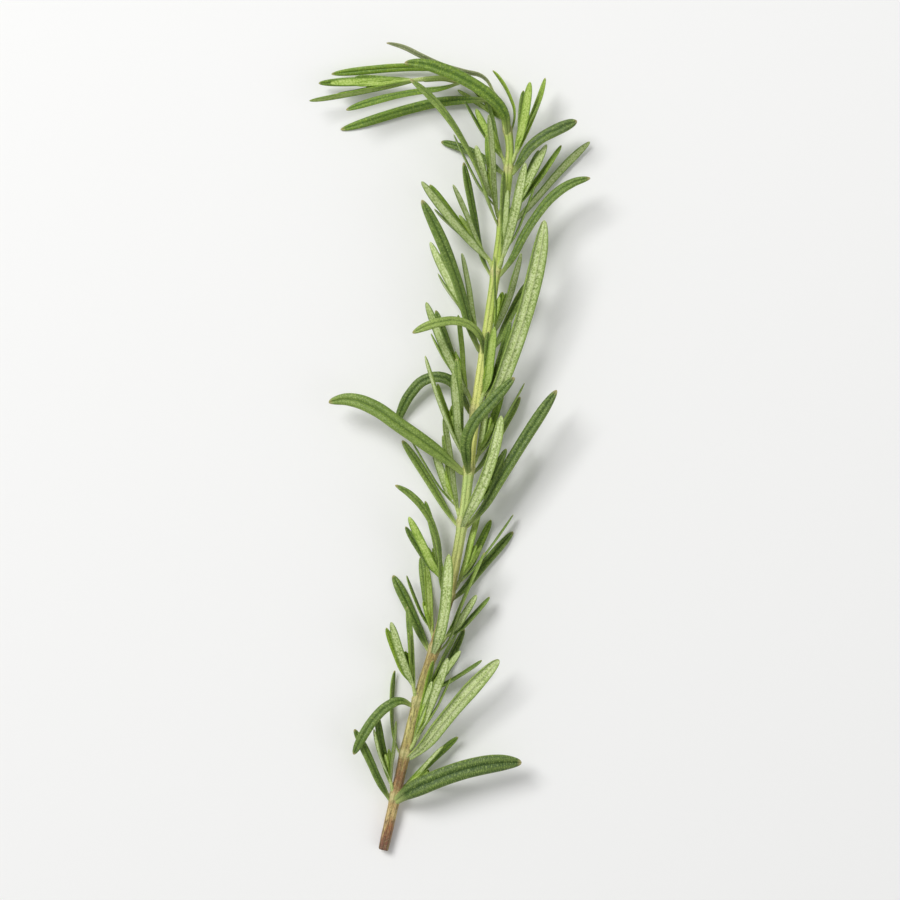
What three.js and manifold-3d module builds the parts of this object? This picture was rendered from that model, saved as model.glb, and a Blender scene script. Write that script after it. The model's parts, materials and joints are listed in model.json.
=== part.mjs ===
// A freshly cut sprig of rosemary, lying on a flat surface.
//
// One woody stem carries its leaves in opposite pairs. Each pair joins the stem a little higher or
// lower round its sides than the last, so that the leaves lie in two layers. In the angle between a
// leaf and the stem sits a short side shoot with small leaves of its own. Near its end the stem curls
// to the left, and a tuft of young leaves ends it.
//
// Millimetres. +Y runs from the cut end to the tip, +X is to the right and +Z is up from the surface
// at z = 0. A bearing is a direction along the surface in degrees, clockwise from +Y as on a compass;
// a rise is the angle above the surface. A roll turns a leaf about its own length: at 0 its upper side
// is up, at 90 it faces to the right of the way the leaf runs, and at 180 the underside is up. Each is
// a list of values from the leaf's foot to its tip.
import * as THREE from "three";
import { mergeVertices } from "three/addons/utils/BufferGeometryUtils.js";
import Module from "manifold-3d";

const wasm = await Module();
wasm.setup();

// Driving dimensions.
const BASE_RADIUS = 1.15; // stem at the cut end
const TIP_RADIUS = 0.6; // stem under the growing tip
const TAPER_POWER = 5; // how late the stem tapers: 1 would be evenly all along
const NODE_SWELL = 0.24; // share by which the stem is thicker where a pair of leaves joins it
const NODE_REACH = 1.5; // length over which that swelling fades
const STEM_CORNER = 0.07; // how far the stem's four corners stand out, as a share of its radius
const GAP = 0.12; // least distance between two pieces
const FOOT_GAP = 0.144; // distance of a leaf's foot from the stem's corners
const TIP_GAP = 0.3; // distance of the growing tip from the stem's end
const LAYER_ANGLE = 38; // how far above or below the stem's own level a leaf joins it, in degrees
const AXIL = 1.8; // distance along the stem from a leaf's foot to the foot of its side shoot
const FOOT_REACH = 1.4; // length over which a leaf's foot bends away from the stem

// A blade. Thicknesses are shares of half its width, and places along it are shares of its length.
const BLADE_OVER = 0.2; // thickness above its edges
const BLADE_UNDER = 0.46; // thickness below them, where its margins roll under
const NECK = 0.42; // width where it joins, as a share of its full width
const NECK_END = 0.32; // where it reaches its full width
const TIP_START = 0.68; // where it starts to narrow to its tip
const TIP_POWER = 2.4; // how blunt the tip is: 2 would be half an ellipse

// A side shoot. Lengths are shares of the length of its longest leaf.
const SMALL_WIDTH = 1.2; // width in millimetres of a leaf with no length
const SMALL_WIDENING = 0.045; // added width for each millimetre of length
const STALK = 0.28; // length of the stalk
const STALK_WIDTH = 0.8; // width of the stalk, as a share of its leaves' width
const FIRST_LEAF = 0.3; // share of the stalk's length at which its first leaf starts
const LEAF_SPAN = 0.4; // share of the stalk's length along which all its leaves start
const SHORTER = 0.13; // each leaf is this much shorter than the last
const NARROWER = 0.07; // and this much narrower, as a share of the first one's width
const LEAF_TURN = 137.5; // turn round the stalk from one leaf to the next, in degrees
const FIRST_TURN = 40; // degrees of the first leaf's turn for each millimetre of the shoot's length
const BEARING_SPREAD = [1.3, 0.8, 0.7]; // a leaf's spread to the sides, from its foot to its tip
const RISE_SPREAD = [1, 0.3, 0.3]; // and up or down

// Facets.
const STEM_SIDES = 8;
const STEM_STEP = 3; // length of one stretch of stem
const BLADE_SIDES = 6;
const LEAF_STATIONS = 8;
const SMALL_LEAF_STATIONS = 6;
const PATH_STEPS = 48;
const SLIVER = 0.003; // no edge is shorter than this

const stemRoute = new THREE.CatmullRomCurve3(
  [
    [-12.8, -77, 1.3],
    [-9.2, -61, 2.5],
    [-5.4, -45, 3.6],
    [-0.4, -29, 4.4],
    [3.8, -8, 4.9],
    [6.2, 13, 5.1],
    [9.4, 35, 5.2],
    [12, 54, 5.1],
    [13.4, 68, 4.8],
    [12, 77.5, 4.5],
    [7.2, 82.6, 4.2],
    [0.4, 84, 3.9],
    [-4.6, 83.9, 3.6],
  ].map((point) => new THREE.Vector3(...point)),
  false,
  "centripetal",
);
const STEM_LENGTH = stemRoute.getLength();

// The pairs of leaves, from the cut end up, each "at" its distance from that end. A few have a third
// leaf that grows from the top of the stem, and two pairs have one of their own leaves there. A side
// shoot gives the number of its leaves, the length of the longest, the way it points and how widely its
// leaves spread from that.
const PAIRS = [
  {
    at: 11.6,
    leaves: {
      left: { length: 16, width: 2.2, bearing: [-18, -30], rise: [6, 0], roll: [60, 40] },
      top: { length: 29, width: 4, bearing: [58, 66, 78, 94], rise: [24, 0, -8], roll: [-10, 4] },
    },
    shoots: {
      left: { leaves: 3, length: 15, bearing: -4, rise: 8, spread: 13 },
      right: { leaves: 3, length: 15, bearing: 50, rise: 16, spread: 20 },
    },
  },
  {
    at: 21,
    leaves: {
      left: { length: 17, width: 1.9, bearing: [-8, 8], rise: [2, 0], roll: [90, 60] },
      right: { length: 28, width: 3.4, bearing: [34, 40, 45], rise: [12, 6], roll: [-150, -172] },
    },
    shoots: {
      right: { leaves: 4, length: 20, bearing: 18, rise: 8, spread: 10 },
    },
  },
  {
    at: 32.2,
    leaves: {
      left: { length: 18, width: 2.2, bearing: [-84, -130, -150, -156], rise: [14, -14], roll: [30, -6] },
      right: { length: 18, width: 2, bearing: [28, 24], rise: [-16, -4], roll: [-60, -40] },
    },
    shoots: {
      left: { leaves: 4, length: 17, bearing: -14, rise: 10, spread: 16 },
      right: { leaves: 3, length: 14, bearing: 42, rise: 2, spread: 20 },
    },
  },
  {
    at: 43.8,
    leaves: {
      left: { length: 17, width: 2.4, bearing: [-20, -30], rise: [-18, -6], roll: [50, 20] },
      right: { length: 23, width: 1.9, bearing: [16, 26], rise: [4, 4], roll: [-110, -70] },
      top: { length: 22, width: 2.4, bearing: [22, 6, 2], rise: [34, 8, 2], roll: [180, 176] },
    },
    shoots: {
      left: { leaves: 3, length: 16, bearing: -10, rise: 4, spread: 15 },
      right: { leaves: 3, length: 16, bearing: 34, rise: -10, spread: 13 },
    },
  },
  {
    at: 55.4,
    leaves: {
      left: { length: 27, width: 1.9, bearing: [12, 0, -18, -40, -68], rise: [14, 4], roll: [90, 20] },
      right: { length: 19, width: 2.1, bearing: [36, 44], rise: [-24, -6], roll: [-50, -20] },
    },
    shoots: {
      left: { leaves: 4, length: 17, bearing: -24, rise: 2, spread: 18 },
      right: { leaves: 3, length: 18, bearing: 24, rise: -2, spread: 15 },
    },
  },
  {
    at: 70.8,
    leaves: {
      left: { length: 21, width: 2.2, bearing: [-28, -36], rise: [-18, -6], roll: [60, 30] },
      right: { length: 33.5, width: 2.8, bearing: [28, 35], rise: [12, 2], roll: [-60, -8] },
      top: { length: 25, width: 2.4, bearing: [32, 20, 8], rise: [30, 6, 0], roll: [-160, -176] },
    },
    shoots: {
      left: { leaves: 4, length: 19, bearing: -18, rise: 6, spread: 16 },
      right: { leaves: 3, length: 18, bearing: 22, rise: -6, spread: 12 },
    },
  },
  {
    at: 81.9,
    leaves: {
      left: { length: 33, width: 3.3, bearing: [-50, -55, -56, -112], rise: [18, 2, -22], roll: [30, 4] },
      right: { length: 19, width: 2.1, bearing: [28, 30], rise: [-24, -6], roll: [-60, -40] },
      top: { length: 24, width: 2.5, bearing: [-16, 0, 40, 43, 44], rise: [34, 6, -2], roll: [10, -6] },
    },
    shoots: {
      left: { leaves: 4, length: 22, bearing: -12, rise: 12, spread: 14 },
      right: { leaves: 3, length: 18, bearing: 18, rise: -2, spread: 15 },
    },
  },
  {
    at: 94.2,
    leaves: {
      left: { length: 25, width: 2.4, bearing: [-5, -42, -122, -152, -168], rise: [12, -24], roll: [30, 0] },
      right: { length: 42, width: 3.7, bearing: [25, 17, 7], rise: [10, 6], roll: [-150, -170] },
    },
    shoots: {
      left: { leaves: 4, length: 21, bearing: -16, rise: 2, spread: 16 },
      right: { leaves: 3, length: 17, bearing: 12, rise: 14, spread: 14 },
    },
  },
  {
    at: 107.2,
    leaves: {
      left: { length: 33, width: 2.9, bearing: [-9, -20, -30], rise: [16, 4], roll: [60, 20] },
      right: { length: 17, width: 2.1, bearing: [18, 34], rise: [18, 6], roll: [-60, -20] },
      top: { length: 20, width: 2.1, bearing: [-12, -40, -88, -108, -122], rise: [34, 2], roll: [50, 10] },
    },
    shoots: {
      left: { leaves: 4, length: 21, bearing: -20, rise: -4, spread: 15 },
      right: { leaves: 3, length: 19, bearing: 8, rise: 10, spread: 12 },
    },
  },
  {
    at: 123.2,
    leaves: {
      left: { length: 23.5, width: 2.1, bearing: [-10, -12], rise: [6, 6], roll: [70, 30] },
      right: { length: 28, width: 2.4, bearing: [18, 30, 44, 86], rise: [12, -2], roll: [-60, -20] },
    },
    shoots: {
      left: { leaves: 4, length: 21, bearing: -26, rise: 0, spread: 15 },
      right: { leaves: 4, length: 20, bearing: 18, rise: 2, spread: 15 },
    },
  },
  {
    at: 133.6,
    leaves: {
      left: { length: 35, width: 2.4, bearing: [-8, -24, -36, -56], rise: [16, 2], roll: [110, 30] },
      right: { length: 25, width: 2, bearing: [42, 40, 50], rise: [-12, 2], roll: [-110, -160] },
    },
    shoots: {
      left: { leaves: 4, length: 19, bearing: -18, rise: 4, spread: 16 },
      right: { leaves: 3, length: 17, bearing: 28, rise: 6, spread: 12 },
    },
  },
  {
    at: 144.7,
    leaves: {
      left: { length: 15, width: 2, bearing: [-44, -80], rise: [-14, -8], roll: [50, 10] },
      right: { length: 17, width: 2.9, bearing: [8, 60, 72], rise: [14, 0], roll: [-60, -6] },
    },
    shoots: {
      left: { leaves: 3, length: 14, bearing: -18, rise: 4, spread: 12 },
      right: { leaves: 4, length: 17, bearing: 14, rise: 6, spread: 13 },
    },
  },
  {
    at: 152.9,
    leaves: {
      top: { length: 28, width: 2.8, bearing: [0, -50, -61, -72, -94], rise: [26, 2, -3], roll: [20, 4] },
      right: { length: 14, width: 1.8, bearing: [-4, -22, -44], rise: [4, 2], roll: [-90, -80] },
    },
    shoots: {
      right: { leaves: 3, length: 13, bearing: -58, rise: 8, spread: 9 },
    },
  },
  {
    at: 161.6,
    leaves: {
      left: { length: 32, width: 2.3, bearing: [-78, -100, -108, -106], rise: [-10, -2], roll: [20, 6] },
      right: { length: 25, width: 1.3, bearing: [-55, -82, -70, -62, -84], rise: [12, 4], roll: [-60, -30] },
    },
    shoots: {},
  },
  {
    at: 169.4,
    leaves: {
      left: { length: 24, width: 2, bearing: [-94, -102, -112], rise: [8, 2], roll: [60, 20] },
      right: { length: 27, width: 1.8, bearing: [-80, -94, -97], rise: [0, 0], roll: [-40, -10] },
    },
    shoots: {},
  },
];

// The growing tip: young leaves, not yet spread, round the end of the stem.
const TIP = { leaves: 6, length: 22, bearing: -95, rise: 2, spread: 8 };

const LEAF_GREEN = 0x6b8a35;
const YOUNG_GREEN = 0x9dbb3c;
const BARK = 0xa99a58;
const YOUNG_FROM = 0.85; // share of the stem's length past which its leaves are young

const { degToRad, lerp, smoothstep, clamp } = THREE.MathUtils;
const UP = new THREE.Vector3(0, 0, 1);
const STRAIGHT = new THREE.Vector3(); // the way that a leaf bends at its foot, if it doesn't

// The unit direction with this bearing and rise, in degrees.
function direction(bearing, rise) {
  const [b, r] = [degToRad(bearing), degToRad(rise)];
  return new THREE.Vector3(Math.sin(b) * Math.cos(r), Math.cos(b) * Math.cos(r), Math.sin(r));
}

// The value at a share of the way along a list of evenly spaced values.
function along(values, share) {
  const place = share * (values.length - 1);
  const before = Math.min(Math.floor(place), values.length - 2);
  return lerp(values[before], values[before + 1], place - before);
}

// The stem's centre, right side, upper side and radius, at a distance from the cut end.
function stemAt(distance) {
  const share = clamp(distance / STEM_LENGTH, 0, 1);
  const right = stemRoute.getTangentAt(share).cross(UP).normalize();
  const upper = right.clone().cross(stemRoute.getTangentAt(share));
  const swells = PAIRS.map(({ at }) => Math.exp(-(((distance - at) / NODE_REACH) ** 2)));
  const swell = Math.max(...swells);
  const radius = lerp(BASE_RADIUS, TIP_RADIUS, share ** TAPER_POWER) * (1 + NODE_SWELL * swell);
  return { centre: stemRoute.getPointAt(share), right, upper, radius };
}

// A geometry with each vertex moved by a rule that gets its x, y and z.
function reshape(geometry, rule) {
  const position = geometry.getAttribute("position");
  for (let i = 0; i < position.count; i++) {
    const point = rule(position.getX(i), position.getY(i), position.getZ(i));
    position.setXYZ(i, point.x, point.y, point.z);
  }
  return geometry;
}

function solidOf(geometry) {
  const bare = geometry.clone();
  bare.deleteAttribute("normal");
  bare.deleteAttribute("uv");
  const merged = mergeVertices(bare, 1e-4);
  const vertProperties = new Float32Array(merged.attributes.position.array);
  const triVerts = new Uint32Array(merged.index.array);
  return new wasm.Manifold(new wasm.Mesh({ numProp: 3, vertProperties, triVerts }));
}

function geometryOf(solid) {
  const mesh = solid.getMesh();
  return new THREE.BufferGeometry()
    .setAttribute("position", new THREE.BufferAttribute(new Float32Array(mesh.vertProperties), 3))
    .setIndex(new THREE.BufferAttribute(new Uint32Array(mesh.triVerts), 1));
}

// The stem: a cylinder bent along the route, swollen at each pair of leaves and slightly four-cornered.
function stemGeometry() {
  const stretches = Math.round(STEM_LENGTH / STEM_STEP);
  const blank = new THREE.CylinderGeometry(1, 1, 1, STEM_SIDES, stretches);
  return reshape(blank, (x, y, z) => {
    const { centre, right, upper, radius } = stemAt((y + 0.5) * STEM_LENGTH);
    const corner = radius * (1 + STEM_CORNER * Math.cos(4 * Math.atan2(z, x) + Math.PI));
    return centre.addScaledVector(right, x * corner).addScaledVector(upper, z * corner);
  });
}

// A blade's width at a share of its length: a narrow neck, nearly parallel edges and a blunt tip.
function outline(share) {
  const neck = lerp(NECK, 1, smoothstep(share, 0, NECK_END));
  const tip = Math.max(0, (share - TIP_START) / (1 - TIP_START));
  return neck * Math.sqrt(Math.max(0, 1 - tip ** TIP_POWER));
}

// The sections of a leaf, from foot to tip. It bends away from the stem at its foot and then follows
// its bearing and rise. Where that would take it through the surface, it lies along the surface.
function sections(leaf, foot, outward) {
  const point = foot.clone();
  const made = [];
  for (let i = 0; i <= PATH_STEPS; i++) {
    const share = i / PATH_STEPS;
    const away = Math.exp((-share * leaf.length) / FOOT_REACH);
    const way = direction(along(leaf.bearing, share), along(leaf.rise, share))
      .addScaledVector(outward, away)
      .normalize();
    const level = way.clone().cross(UP).normalize();
    const side = level.applyAxisAngle(way, degToRad(along(leaf.roll, share)));
    const face = side.clone().cross(way);
    const half = (leaf.width / 2) * outline(share);
    point.z = Math.max(point.z, half * (Math.abs(side.z) + BLADE_UNDER * Math.abs(face.z)));
    made.push({ point: point.clone(), side, face, half });
    point.addScaledVector(way, leaf.length / PATH_STEPS);
  }
  return made;
}

// A leaf: a sphere drawn out along its sections, and fuller below its edges than above them.
function leafGeometry(leaf, foot, outward, stations) {
  const path = sections(leaf, foot, outward);
  return reshape(new THREE.SphereGeometry(1, BLADE_SIDES, stations), (x, y, z) => {
    const { point, side, face, half } = path[Math.round(((1 + y) / 2) * PATH_STEPS)];
    const ring = Math.hypot(x, z);
    if (ring < 1e-6) return point;
    const depth = z > 0 ? BLADE_OVER : BLADE_UNDER;
    return point
      .clone()
      .addScaledVector(side, (x / ring) * half)
      .addScaledVector(face, (z / ring) * half * depth);
  });
}

// A tuft of leaves grown together as one solid, on a short stalk. Each leaf starts a little further
// along the stalk than the last, turned round it, and its upper side faces the stalk.
function tuftSolid(tuft, foot, outward) {
  const width = SMALL_WIDTH + tuft.length * SMALL_WIDENING;
  const stalk = {
    length: tuft.length * STALK,
    width: width * STALK_WIDTH,
    bearing: [tuft.bearing, tuft.bearing],
    rise: [tuft.rise, tuft.rise],
    roll: [0, 0],
  };
  const stalkPath = sections(stalk, foot, outward);
  let solid = solidOf(leafGeometry(stalk, foot, outward, SMALL_LEAF_STATIONS));
  for (let i = 0; i < tuft.leaves; i++) {
    const turn = i * LEAF_TURN + tuft.length * FIRST_TURN;
    const across = tuft.spread * Math.cos(degToRad(turn));
    const above = tuft.spread * Math.sin(degToRad(turn));
    const start = stalkPath[Math.round(PATH_STEPS * (FIRST_LEAF + (LEAF_SPAN * i) / tuft.leaves))];
    const leaf = {
      length: tuft.length * (1 - SHORTER * i),
      width: width * (1 - NARROWER * i),
      bearing: BEARING_SPREAD.map((part) => tuft.bearing + part * across),
      rise: RISE_SPREAD.map((part) => tuft.rise + part * above),
      roll: [-90 - turn, -90 - turn],
    };
    const blade = leafGeometry(leaf, start.point, STRAIGHT, SMALL_LEAF_STATIONS);
    solid = solid.add(solidOf(blade));
  }
  return solid;
}

// The foot of a leaf or shoot: a point just off the stem at an angle round it, 0 on the right and 90
// on top.
function footAt(distance, angle) {
  const { centre, right, upper, radius } = stemAt(distance);
  const outward = right
    .multiplyScalar(Math.cos(degToRad(angle)))
    .addScaledVector(upper, Math.sin(degToRad(angle)));
  const off = radius * (1 + STEM_CORNER) + FOOT_GAP;
  return { foot: centre.addScaledVector(outward, off), outward };
}

const sprig = new THREE.Group();
const grown = [];

function addPiece(name, color, geometry, solid) {
  const mesh = new THREE.Mesh(geometry, new THREE.MeshStandardMaterial({ color, roughness: 0.6 }));
  mesh.name = name;
  sprig.add(mesh);
  grown.push(solid);
}

function shortestEdge(geometry) {
  const { position } = geometry.attributes;
  const corner = (i) => new THREE.Vector3().fromBufferAttribute(position, geometry.index.getX(i));
  let shortest = Infinity;
  for (let i = 0; i < geometry.index.count; i += 3) {
    const [a, b, c] = [corner(i), corner(i + 1), corner(i + 2)];
    shortest = Math.min(shortest, a.distanceTo(b), b.distanceTo(c), c.distanceTo(a));
  }
  return shortest;
}

// A leaf or shoot grows where there is room. Of all the ways that its rise, its bearing, its foot's
// place round the stem and its size can change, it takes the slightest that keeps its distance from
// all that grew before it. The weights say how many degrees of bearing each change counts for.
const TURNS = [0, 4, -4, 8, -8, 13, -13, 19, -19, 26, -26, 34, -34];
const ROUNDS = [0, 14, -14, 28, -28];
const SIZES = [1, 0.86, 0.72];
const ROUND_WEIGHT = 1 / 3;
const SIZE_WEIGHT = 110;
const WAYS = [];
for (const size of SIZES) {
  for (const round of ROUNDS) {
    for (const rise of TURNS) {
      for (const bearing of TURNS) {
        const turned = Math.abs(rise) + Math.abs(bearing) + Math.abs(round) * ROUND_WEIGHT;
        WAYS.push({ size, round, rise, bearing, change: turned + (1 - size) * SIZE_WEIGHT });
      }
    }
  }
}
WAYS.sort((a, b) => a.change - b.change);

function growWithRoom(name, color, build) {
  for (const way of WAYS) {
    const solid = build(way);
    const geometry = geometryOf(solid);
    if (shortestEdge(geometry) < SLIVER) continue;
    if (grown.every((other) => other.minGap(solid, 2 * GAP) >= GAP)) {
      addPiece(name, color, geometry, solid);
      return;
    }
  }
  throw new Error(`${name} finds no room to grow`);
}

function changed(growth, way) {
  const turn = (angle, by) => (Array.isArray(angle) ? angle.map((one) => one + by) : angle + by);
  return {
    ...growth,
    length: growth.length * way.size,
    rise: turn(growth.rise, way.rise),
    bearing: turn(growth.bearing, way.bearing),
  };
}

const stem = stemGeometry();
addPiece("stem", BARK, stem, solidOf(stem));

const tipFoot = stemRoute.getPointAt(1).addScaledVector(stemRoute.getTangentAt(1), TIP_GAP);
growWithRoom("growing_tip", YOUNG_GREEN, (way) => tuftSolid(changed(TIP, way), tipFoot, STRAIGHT));

// The angle round the stem at which each of a pair's leaves joins: one pair above the level of the
// stem, the next below it.
function anglesRound(index) {
  const angle = index % 2 ? -LAYER_ANGLE : LAYER_ANGLE;
  return { left: 180 - angle, right: -angle, top: 90 };
}

function growAll(kind, pieces, index, at, color, solidFrom) {
  for (const [place, piece] of Object.entries(pieces)) {
    const name = `${kind}_${String(index + 1).padStart(2, "0")}_${place}`;
    growWithRoom(name, color, (way) => {
      const { foot, outward } = footAt(at, anglesRound(index)[place] + way.round);
      return solidFrom(changed(piece, way), foot, outward);
    });
  }
}

// All the leaves grow before any side shoot, which has to fit between them.
PAIRS.forEach(({ at, leaves }, index) => {
  const color = at > YOUNG_FROM * STEM_LENGTH ? YOUNG_GREEN : LEAF_GREEN;
  growAll("leaf", leaves, index, at, color, (leaf, foot, outward) =>
    solidOf(leafGeometry(leaf, foot, outward, LEAF_STATIONS)),
  );
});
PAIRS.forEach(({ at, shoots }, index) => {
  growAll("shoot", shoots, index, at + AXIL, LEAF_GREEN, tuftSolid);
});

// The sprig's reference point is the middle of its box, on the surface that it lies on.
const box = new THREE.Box3().setFromObject(sprig);
const middle = box.getCenter(new THREE.Vector3());
sprig.position.set(-middle.x, -middle.y, -box.min.z);

export default sprig;
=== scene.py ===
import json
import math
import random

import bmesh
import bpy
import numpy as np
from mathutils import Matrix, Vector


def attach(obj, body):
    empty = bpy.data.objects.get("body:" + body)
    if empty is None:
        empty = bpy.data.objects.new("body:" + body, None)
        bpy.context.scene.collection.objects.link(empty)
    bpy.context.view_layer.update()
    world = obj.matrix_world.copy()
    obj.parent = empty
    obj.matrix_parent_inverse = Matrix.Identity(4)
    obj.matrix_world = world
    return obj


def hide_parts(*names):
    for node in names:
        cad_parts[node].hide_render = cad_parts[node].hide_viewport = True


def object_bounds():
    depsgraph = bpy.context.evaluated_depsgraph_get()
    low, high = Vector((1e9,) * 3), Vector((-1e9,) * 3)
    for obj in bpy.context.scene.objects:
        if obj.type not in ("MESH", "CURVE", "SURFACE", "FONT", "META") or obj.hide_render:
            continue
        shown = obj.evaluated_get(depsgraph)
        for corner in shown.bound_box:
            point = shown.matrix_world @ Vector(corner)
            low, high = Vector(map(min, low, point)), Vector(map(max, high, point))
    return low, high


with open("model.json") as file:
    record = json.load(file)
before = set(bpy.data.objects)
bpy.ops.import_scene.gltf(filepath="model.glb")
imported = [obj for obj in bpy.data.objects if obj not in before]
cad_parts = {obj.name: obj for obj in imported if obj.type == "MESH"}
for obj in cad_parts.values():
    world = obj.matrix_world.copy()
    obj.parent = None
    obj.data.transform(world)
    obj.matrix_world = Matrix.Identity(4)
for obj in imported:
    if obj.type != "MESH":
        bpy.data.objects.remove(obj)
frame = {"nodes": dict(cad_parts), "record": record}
cad_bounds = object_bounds()
slots = {part["node"]: part["material_slot"] for part in frame["record"]["subparts"]}

# Stem. The sprig's one woody stem: a reddish brown, cork-barked cut end that turns into a downy
# yellow-green shoot. It grows in one piece, slightly four-cornered, and swells into a collar wherever a
# pair of leaves clasps it.
MM = 0.001
STEM_SIDES = 24
STEM_ROW = 0.9  # mm, length of one stretch of stem
LEAST_ROW = 0.15  # mm, and of the shortest one
JOINT_ROWS = (-2.2, -1.5, -1, -0.6, -0.3, -0.1, 0.1, 0.3, 0.6, 1, 1.5, 2.2)  # mm, added at each joint
PAIRS = 15  # pairs of leaves
JOINT_REACH = 1.5  # mm over which a joint's swelling fades
JOINT_SWELL = 0.22  # and its height, as a share of the stem's radius
TAPER_POWER = 5  # how late the stem tapers
COLLAR_REACH = 0.22  # mm, half of the thin ring round the stem where two leaves' feet meet
COLLAR_RISE = 0.2  # mm, how far above the middle of the joint it lies
COLLAR = 0.1  # its height, as a share of the stem's radius
CORNER = 0.07  # how far the stem's four corners stand out
BARK_END = 62  # mm from the cut at which the cork bark gives way to green
RIDGE_STEP = 3  # one in this many corners of the stem's section carries a ridge of cork
RIDGE = 0.06  # mm, the height of a ridge
ON_RIDGE = 0.995  # cosine of the turn from a ridge's crest within which a corner belongs to it
ROUGH_BARK = 0.05  # mm, how far the bark is uneven
ROUGH_SKIN = 0.016  # mm, and the green part
CUT_ROW = 0.2  # mm, within which only the corners of the cut lie
BARK_RIM = 0.13  # mm, thickness of the bark at the cut
WOOD_RING = 0.6  # mm, thickness of the wood inside it
PITH_DEPTH = 0.25  # mm, how far the pith has sunk in
CUT_WOOD = 0.8  # share of the stem's radius within which the cut shows wood
FACING = 0.8  # cosine of the turn from the stem's own direction within which a face belongs to the cut
CAD_SIDES = 8  # corners of a ring of the CAD stem
TOUCH = 1e-6  # how near two corners count as one


def select_only(piece):
    """Deselects everything, the frame's nodes included, and makes this piece the active one."""
    bpy.ops.object.select_all(action="DESELECT")
    piece.select_set(True)
    bpy.context.view_layer.objects.active = piece


def welded(node):
    """A copy of a CAD node's mesh, with its loose triangles joined up."""
    copy = bmesh.new()
    copy.from_mesh(frame["nodes"][node].data)
    bmesh.ops.remove_doubles(copy, verts=copy.verts, dist=TOUCH)
    return copy


def rings_from(pole, corners):
    """The rings of corners that follow each other from a pole of a CAD mesh, while each has that many."""
    rings, seen, ring = [], {pole}, {pole}
    while True:
        ring = {edge.other_vert(corner) for corner in ring for edge in corner.link_edges} - seen
        if len(ring) != corners:
            return rings
        seen |= ring
        rings.append([corner.co.copy() for corner in ring])


def middle(points):
    """The mean of some points."""
    return sum(points, Vector()) / len(points)


cad_stem = welded("stem")
poles = [corner for corner in cad_stem.verts if len(corner.link_edges) == CAD_SIDES]
stem_rings = rings_from(min(poles, key=lambda pole: pole.co.y), CAD_SIDES)
cad_stem.free()
stem_line = [middle(ring) for ring in stem_rings]
cut_radius, end_radius = (
    sum((point - middle(ring)).length for point in ring) / CAD_SIDES
    for ring in (stem_rings[0], stem_rings[-1])
)
stem_places = [0.0]
for before, after in zip(stem_line, stem_line[1:]):
    stem_places.append(stem_places[-1] + (after - before).length)
stem_length = stem_places[-1]


def foot_of(node):
    """Where a leaf or shoot grows: its corner nearest the stem, the stem's middle there, and how far along
    the stem that is."""
    nearest = None
    for vertex in frame["nodes"][node].data.vertices:
        for (a, b), place in zip(zip(stem_line, stem_line[1:]), stem_places):
            share = max(0, min(1, (vertex.co - a).dot(b - a) / (b - a).length_squared))
            point = a.lerp(b, share)
            distance = (vertex.co - point).length
            if nearest is None or distance < nearest[0]:
                nearest = distance, vertex.co.copy(), point, place + share * (b - a).length
    return nearest[1:]


feet = {node: foot_of(node) for node in frame["nodes"] if node != "stem"}
joints = []
for number in range(1, PAIRS + 1):
    pair = [place for node, (_, _, place) in feet.items() if node.startswith(f"leaf_{number:02d}")]
    joints.append(sum(pair) / len(pair))


def core_at(place):
    """The stem's middle at a distance from its cut end."""
    for (a, b), start in zip(zip(stem_line, stem_line[1:]), stem_places):
        if place <= start + (b - a).length:
            return a.lerp(b, max(0, place - start) / (b - a).length)
    return stem_line[-1]


def girth(place):
    """The stem's radius at a distance from its cut end."""
    swell = collar = 0
    for joint in joints:
        off = (place - joint) / MM
        swell = max(swell, JOINT_SWELL * math.exp(-((off / JOINT_REACH) ** 2)))
        collar += COLLAR * math.exp(-(((off - COLLAR_RISE) / COLLAR_REACH) ** 2))
    taper = (place / stem_length) ** TAPER_POWER
    return (cut_radius + (end_radius - cut_radius) * taper) * (1 + swell + collar)


def select_where(test):
    """In edit mode, selects the corners that pass a test, and nothing else."""
    bpy.ops.mesh.select_all(action="DESELECT")
    mesh = bmesh.from_edit_mesh(bpy.context.object.data)
    mesh.normal_update()
    for corner in mesh.verts:
        if test(corner):
            corner.select_set(True)
    mesh.select_flush_mode()
    bmesh.update_edit_mesh(bpy.context.object.data)


def add_ring(name, section):
    """Adds a ring of corners that stands across the X axis, moves them onto a section and selects them."""
    bpy.ops.object.select_all(action="DESELECT")
    bpy.ops.mesh.primitive_circle_add(vertices=len(section), radius=1, rotation=(math.pi / 2, 0, math.pi / 2))
    ring = bpy.context.object
    ring.name = name
    bpy.ops.object.transform_apply(location=True, rotation=True, scale=True)
    bpy.ops.object.mode_set(mode="EDIT")
    for index, place in enumerate(section):
        select_where(lambda corner: corner.index == index)
        bpy.ops.transform.translate(value=Vector((0, *place)) - ring.data.vertices[index].co)
    bpy.ops.mesh.select_all(action="SELECT")
    return ring


def draw_out(rows):
    """Extrudes the selected ring along +X, through rows that each give a distance, a width and a height."""
    bpy.ops.transform.resize(value=(1, rows[0][1], rows[0][2]), center_override=(0, 0, 0))
    for (x0, wide0, high0), (x1, wide1, high1) in zip(rows, rows[1:]):
        bpy.ops.mesh.extrude_region_move(TRANSFORM_OT_translate={"value": (x1 - x0, 0, 0)})
        bpy.ops.transform.resize(value=(1, wide1 / wide0, high1 / high0), center_override=(x1, 0, 0))


def finish_mesh(piece):
    """Turns a new mesh's faces outwards and smooths it."""
    bpy.ops.mesh.select_all(action="SELECT")
    bpy.ops.mesh.normals_make_consistent(inside=False)
    bpy.ops.object.mode_set(mode="OBJECT")
    smooth = piece.modifiers.new("smooth", "SUBSURF")
    smooth.levels = smooth.render_levels = 1
    bpy.ops.object.modifier_apply(modifier=smooth.name)
    bpy.ops.object.shade_smooth()


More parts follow.
